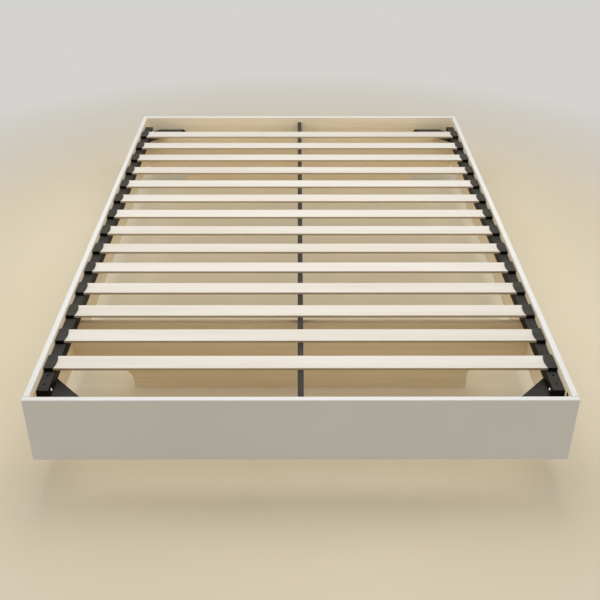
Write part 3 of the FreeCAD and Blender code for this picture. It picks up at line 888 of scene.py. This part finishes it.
# %% Angles and hangers
bracket_leg = 0.040


def strip_faces(count):
    """Faces between two open rows of points."""
    return [[spot, spot + 1, count + spot + 1, count + spot] for spot in range(count - 1)]


def cross_bracket(name, side):
    """Angle between the back of a cross board and a side board."""
    low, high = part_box(name)
    path = [(bracket_leg, 0)] + bend + [(0, bracket_leg)]
    points = [(side * (inner_x - reach), low.y + run, z)
              for z in (low.z, high.z) for reach, run in path]
    middle = bracket_leg / 2
    inside = (side * (inner_x - middle), low.y + middle, (low.z + high.z) / 2)
    steel_sheet(name, points, strip_faces(len(path)), angle_steel, inside)


def rail_hanger(name, end):
    """Angle on an end board under the end of the centre rail."""
    low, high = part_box(name)
    reach, drop = high.y - low.y, high.z - low.z
    path = [(reach, 0)] + bend + [(0, drop)]
    points = [(x, end * (inner_y - run), high.z - down)
              for x in (low.x, high.x) for run, down in path]
    inside = (0, end * (inner_y - reach / 2), high.z - drop / 2)
    steel_sheet(name, points, strip_faces(len(path)), plate_steel, inside)


for row in ("front", "rear"):
    for side, side_name in both_sides:
        cross_bracket("cross_bracket_%s_%s" % (row, side_name), side)
for end, end_name in both_ends:
    rail_hanger("centre_rail_hanger_" + end_name, end)

# %% [markdown]
# Round pieces
#
# Plugs, bolts, screws, cams and covers are small turned or moulded pieces. Each master shape is a
# stack of rings along +Z, the way into the wood or steel, and a tree sets it out on points that
# carry a turn. A ring can be a circle, a hexagon or a rounded square, because all rings have as
# many points.

# %% Ring stacks


def hexagon(across_flats):
    """Points of a hexagon at the same angles as a circle's."""
    ring = []
    for x, y in circle(1):
        angle = math.atan2(y, x)
        nearest = round(angle / (math.pi / 3)) * (math.pi / 3)
        radius = across_flats / 2 / math.cos(angle - nearest)
        ring.append((radius * math.cos(angle), radius * math.sin(angle)))
    return ring


def rounded_square(half, radius):
    """Points of a square with a quarter of the ring in each rounded corner."""
    ring = []
    in_corner = ring_count // 4
    for corner in range(4):
        centre = math.radians(45 + 90 * corner)
        x = (half - radius) * math.copysign(1, math.cos(centre))
        y = (half - radius) * math.copysign(1, math.sin(centre))
        for step in range(in_corner):
            angle = math.radians(90 * corner + 90 * step / (in_corner - 1))
            ring.append((x + radius * math.cos(angle), y + radius * math.sin(angle)))
    return ring


def ring_stack(name, rings):
    """Closed master piece through rings of (outline, level)."""
    points = [(x, y, level) for outline, level in rings for x, y in outline]
    return new_piece(name, mesh_of(name, points, stack_faces(0, len(rings), ring_count)))


def turned_stack(name, profile):
    """Master piece turned from (radius, level)."""
    return ring_stack(name, [(circle(radius), level) for radius, level in profile])


def square_stack(name, profile):
    """Master piece of rounded squares from (half width, corner radius, level)."""
    return ring_stack(name, [(rounded_square(half, radius), level)
                             for half, radius, level in profile])


print("rings of", ring_count, "points")

# %% Heads and shanks set out on points
set_out, size, result = new_tree(
    "set out", Geometry=["Points"], Object=["Head", "Shank"], Material=["Finish"],
    Float=["Head diameter", "Head length", "Shank diameter", "Shank length"])
both = add(set_out, "GeometryNodeJoinGeometry")
for part in ("Head", "Shank"):
    shape = add(set_out, "GeometryNodeObjectInfo", {"Object": size[part]}, "Geometry")
    wide, long = size[part + " diameter"], size[part + " length"]
    scale = add(set_out, "ShaderNodeCombineXYZ", {"X": wide, "Y": wide, "Z": long})
    sized = add(set_out, "GeometryNodeTransform", {"Geometry": shape, "Scale": scale})
    set_out.links.new(sized, both.node.inputs[0])
turn = add(set_out, "GeometryNodeInputNamedAttribute", {"Name": "turn"}, data_type="FLOAT_VECTOR")
placed = add(set_out, "GeometryNodeInstanceOnPoints", {
    "Points": size["Points"], "Instance": both, "Rotation": turn})
close_tree(set_out, placed, size["Finish"], result)


def points_with_turns(name, spots):
    """Mesh of points, each with the turn that brings +Z to its direction."""
    mesh = bpy.data.meshes.new(name)
    mesh.from_pydata([start for start, direction in spots], [], [])
    turns = mesh.attributes.new("turn", "FLOAT_VECTOR", "POINT")
    for spot, (start, direction) in enumerate(spots):
        rotation = Vector((0, 0, 1)).rotation_difference(Vector(direction))
        turns.data[spot].vector = rotation.to_euler()
    return mesh


def set_out_piece(name, spots, head, shank, sizes, finish, slot, stands_for):
    """Head and shank on every spot; sizes are their diameters and lengths, the head's first."""
    piece = new_piece(name, points_with_turns(name, spots))
    grow(piece, set_out, {
        "Head": head, "Head diameter": sizes[0], "Head length": sizes[1], "Shank": shank,
        "Shank diameter": sizes[2], "Shank length": sizes[3], "Finish": finish})
    join_frame(piece, slot, stands_for)


# %% [markdown]
# Bolts and screws
#
# The heads are bright zinc buttons with a hexagon socket. Zinc plate is a mirror with a very fine
# clouding, so it is a metal whose roughness drifts. One head and one threaded shank of size one
# serve every bolt and screw, because the tree stretches them to each diameter and length.

# %% Zinc plate
zinc, tree = new_finish("bright zinc plate")
pattern = cloud(tree, 220, 4, 0.6)
scratches = cloud(tree, 900, 2, spot=place(tree, (1, 1, 14)))
plate = two_tones(tree, pattern, (205, 205, 202), (226, 226, 224))
link_finish(zinc, plate, drifting(tree, pattern, 0.2, 0.34), (scratches, 0.08, 0.0001),
            Metallic=1.0)
print(zinc.name, "is ready")

# %% Bolt shapes
dome_steps, thread_count, thread_start, thread_pitch = 5, 12, 0.03, 0.075
dome = [(circle(0.30 + 0.20 * math.cos(angle)), -0.34 - 0.66 * math.sin(angle))
        for angle in quarter(dome_steps)]
socket = [(hexagon(0.40), -1.0), (hexagon(0.36), -0.95), (hexagon(0.36), -0.48),
          (circle(0.03), -0.42)]
head = ring_stack("head", [(circle(0.5), 0.0)] + dome + socket)

threads = [(0.43, -0.02)]
for thread in range(thread_count):
    base = thread_start + thread * thread_pitch
    threads += [(0.44, base), (0.5, base + 0.025), (0.5, base + 0.04), (0.44, base + 0.065)]
shank = turned_stack("shank", threads + [(0.40, 0.97), (0.30, 1.0)])
print("head", len(head.data.polygons), "faces, shank", len(shank.data.polygons), "faces")

# %% Bolts in place
corners = [(side, end) for side in (-1, 1) for end in (-1, 1)]
bolt_head, bolt_head_height, bolt_diameter = 0.011, 0.0036, 0.006
flange_reaches, flange_drop = (0.084, 0.139), 0.019
under_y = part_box("gusset_rail_bolts")[1].y - bolt_head / 2
side_low, side_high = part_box("rail_side_bolts")
side_y, side_z = side_high.y - bolt_head / 2, (side_low.z + side_high.z) / 2

flange_bolts = [((side * (inner_x - reach), end * (inner_y - plate_steel),
                  rail_bottom - flange_drop), (0, end, 0))
                for side, end in corners for reach in flange_reaches]
under_bolts = [((side * rail_middle_x, end * under_y, rail_bottom - plate_steel), (0, 0, 1))
               for side, end in corners]
side_bolts = [((side * rail_low.x, end * side_y, side_z), (side, 0, 0)) for side, end in corners]
for name, spots, length, node in (
        ("gusset_button_bolts", flange_bolts, 0.0135, "gusset_flange_bolts"),
        ("rail_button_bolts", under_bolts, 0.011, "gusset_rail_bolts"),
        ("side_button_bolts", side_bolts, 0.0425, "rail_side_bolts")):
    sizes = (bolt_head, bolt_head_height, bolt_diameter, length)
    set_out_piece(name, spots, head, shank, sizes, zinc, "zinc", node)

# %% Small screws
screw_sizes = (0.008, 0.0024, 0.004, 0.013)
screw_reach, screw_inset, hanger_drops = 0.026, 0.015, (0.016, 0.034)
screws = []
for row in ("front", "rear"):
    low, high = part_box("cross_bracket_%s_right" % row)
    for side in (-1, 1):
        for level in (high.z - screw_inset, low.z + screw_inset):
            screws += [
                ((side * (inner_x - screw_reach), low.y + angle_steel, level), (0, -1, 0)),
                ((side * (inner_x - angle_steel), low.y + screw_reach, level), (side, 0, 0))]
for end in (-1, 1):
    screws.append(((0, end * (inner_y - screw_reach), rail_bottom - plate_steel), (0, 0, 1)))
    for hanger_drop in hanger_drops:
        level = rail_bottom - hanger_drop
        screws.append(((0, end * (inner_y - plate_steel), level), (0, end, 0)))
set_out_piece("small_screws", screws, head, shank, screw_sizes, zinc, "zinc", "bracket_screws")

# %% [markdown]
# Rail plugs
#
# A black plastic plug closes each end of both rails: a thin square head with rounded edges, and a
# ribbed stem that grips inside the tube.

# %% Plugs
plug_width, plug_head_height, plug_stem_width, plug_stem_length = 0.032, 0.002, 0.0287, 0.012
rib_count, rib_start, rib_pitch = 3, 0.12, 0.27
core, crest, rib_corner = 0.44, 0.499, 0.06
plug_head = square_stack("plug head", [
    (0.5, 0.094, 0.0), (0.5, 0.094, -0.55), (0.487, 0.085, -0.85), (0.465, 0.075, -1.0)])
ribs = [(core, rib_corner, -0.02)]
for rib in range(rib_count):
    base = rib_start + rib * rib_pitch
    ribs += [(core, rib_corner, base), (crest, rib_corner, base + 0.07),
             (crest, rib_corner, base + 0.1), (core, rib_corner, base + 0.2)]
plug_stem = square_stack("plug stem", ribs + [(0.40, rib_corner, 1.0)])
plug_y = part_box("rail_end_plugs")[1].y - plug_head_height
rail_middle_z = (rail_low.z + rail_high.z) / 2
plug_spots = [((side * rail_middle_x, end * plug_y, rail_middle_z), (0, -end, 0))
              for side, end in corners]
plug_sizes = (plug_width, plug_head_height, plug_stem_width, plug_stem_length)
set_out_piece("rail_plugs", plug_spots, plug_head, plug_stem, plug_sizes, black_plastic,
              "black_plastic", "rail_end_plugs")

# %% [markdown]
# Cams and their covers
#
# Round cams of dark cast zinc in the side boards pull the corners together. Thin plastic covers in
# the tone of the wood hide them, but one, at the right of the foot end, is open. The hollow of its
# face is painted nearly black, as painted shade deep in the recess, so it shows as a small dark
# dot.

# %% Cam finishes
hollow_shade_start, hollow_shade_end = 0.0006, 0.0016

cast_zinc, tree = new_finish("cast zinc cam")
pattern = cloud(tree, 300, 3)
face = two_tones(tree, pattern, (58, 55, 50), (70, 67, 61))
depth = calc(tree, "ABSOLUTE", place_along(tree, 0))
# Painted shade: deeper in the cam's hollow the face turns nearly black.
hollow_shade = span(tree, depth, inner_x + hollow_shade_start, inner_x + hollow_shade_end, 0.0, 1.0)
link_finish(cast_zinc, mixed(tree, hollow_shade, face, screen(16, 15, 14)),
            drifting(tree, pattern, 0.45, 0.6), Metallic=0.6)

cover_plastic, tree = new_finish("wood-tone cover")
pattern = cloud(tree, 1, 3, spot=place(tree, (30, 30, 400)))
tone = two_tones(tree, pattern, (214, 190, 152), (224, 202, 167))
link_finish(cover_plastic, tone, drifting(tree, pattern, 0.5, 0.6),
            (cloud(tree, 1800, 2), 0.15, 0.0001))
print(cast_zinc.name, "and", cover_plastic.name, "are ready")

# %% Cams and covers
cam_diameter, cam_depth = 0.015, 0.0125
cover_sizes, cover_gap = (0.017, 0.0012, 0.0058, 0.0022), 0.00002
cam_low, cam_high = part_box("cam_locks")
cam_y = cam_high.y - cam_diameter / 2
cam_levels = (cam_high.z - cam_diameter / 2, cam_low.z + cam_diameter / 2)
cam_face = turned_stack("cam face", [
    (0.44, 1.0), (0.5, 0.9), (0.5, 0.05), (0.475, 0.0), (0.29, 0.0), (0.28, 0.06), (0.24, 0.24),
    (0.05, 0.25)])
cam_lug = turned_stack("cam lug", [(0.30, 0.9), (0.36, 0.92), (0.36, 0.97), (0.33, 1.02)])
cam_spots = [((side * inner_x, end * cam_y, level), (side, 0, 0))
             for side, end in corners for level in cam_levels]
set_out_piece("corner_cams", cam_spots, cam_face, cam_lug, (cam_diameter, cam_depth) * 2,
              cast_zinc, "zinc", "cam_locks")

cover = turned_stack("cover", [
    (0.49, 0.0), (0.5, -0.25), (0.49, -0.6), (0.45, -0.88), (0.3, -1.0)])
cover_stem = turned_stack("cover stem", [(0.5, -0.25), (0.5, 0.55), (0.44, 0.9), (0.36, 1.0)])
cover_spots = [((side * inner_x - side * cover_gap, end * cam_y, level), (side, 0, 0))
               for side, end in corners for level in cam_levels
               if (side, end, level) != (1, -1, cam_levels[0])]
set_out_piece("cam_cover_caps", cover_spots, cover, cover_stem, cover_sizes, cover_plastic,
              "cover_plastic", "cam_covers")
for master in (head, shank, plug_head, plug_stem, cam_face, cam_lug, cover, cover_stem):
    bpy.data.objects.remove(master)
print(len(cam_spots), "cams,", len(cover_spots), "covers")

# %% [markdown]
# Hidden fixings
#
# Dowels, cam bolts, threaded sleeves and the nuts inside the rails are out of sight, so their
# solids stay as they are and only take their finish. The grain of the beech dowels runs along them.

# %% Hidden fixings
beech, tree = new_finish("beech dowel")
colour, height, roughness = wood_grain(
    tree, 1, ((206, 170, 126), (216, 184, 142), (224, 195, 156)))
link_finish(beech, colour, roughness, (height, 0.15, 0.0002))
set_finish(beech, "corner_dowels")
set_finish(zinc, "cam_bolts", "threaded_inserts", "rail_weld_nuts")
print("hidden fixings have their finish")

# %% [markdown]
# The floor
#
# A plain pale floor carries the bed and its shadow. It is far larger than the bed, and it fades
# into the tone of the sky some way off, so its edge never shows.

# %% Floor
floor_half, fade_start, fade_end = 20, 1.4, 2.5
floor_finish, tree = new_finish("plain pale floor")
shader = tree.nodes["Principled BSDF"]
near_tone = two_tones(tree, cloud(tree, 0.8, 2), (223, 210, 182), (228, 215, 189))
tree.links.new(near_tone, shader.inputs["Base Color"])
shader.inputs["Roughness"].default_value = 0.75
radius = add(tree, "ShaderNodeVectorMath", {0: place(tree)}, "Value", operation="LENGTH")
away = span(tree, radius, fade_start, fade_end, 0.0, 1.0)
pale = add(tree, "ShaderNodeEmission", {"Color": far_tone})
fade = add(tree, "ShaderNodeMixShader", {
    0: calc(tree, "MULTIPLY", away, seen_rays(tree)), 1: shader.outputs[0], 2: pale})
tree.links.new(fade, tree.nodes["Material Output"].inputs["Surface"])
floor_corners = [(x * floor_half, y * floor_half, 0)
                 for x, y in ((-1, -1), (1, -1), (1, 1), (-1, 1))]
floor = new_piece("floor", mesh_of("floor", floor_corners, [[0, 1, 2, 3]]), floor_finish)
print("floor", 2 * floor_half, "m wide")

# %% [markdown]
# Closing
#
# At the end the view layer is brought up to date.

# %% Bring the view layer up to date
bpy.context.view_layer.update()
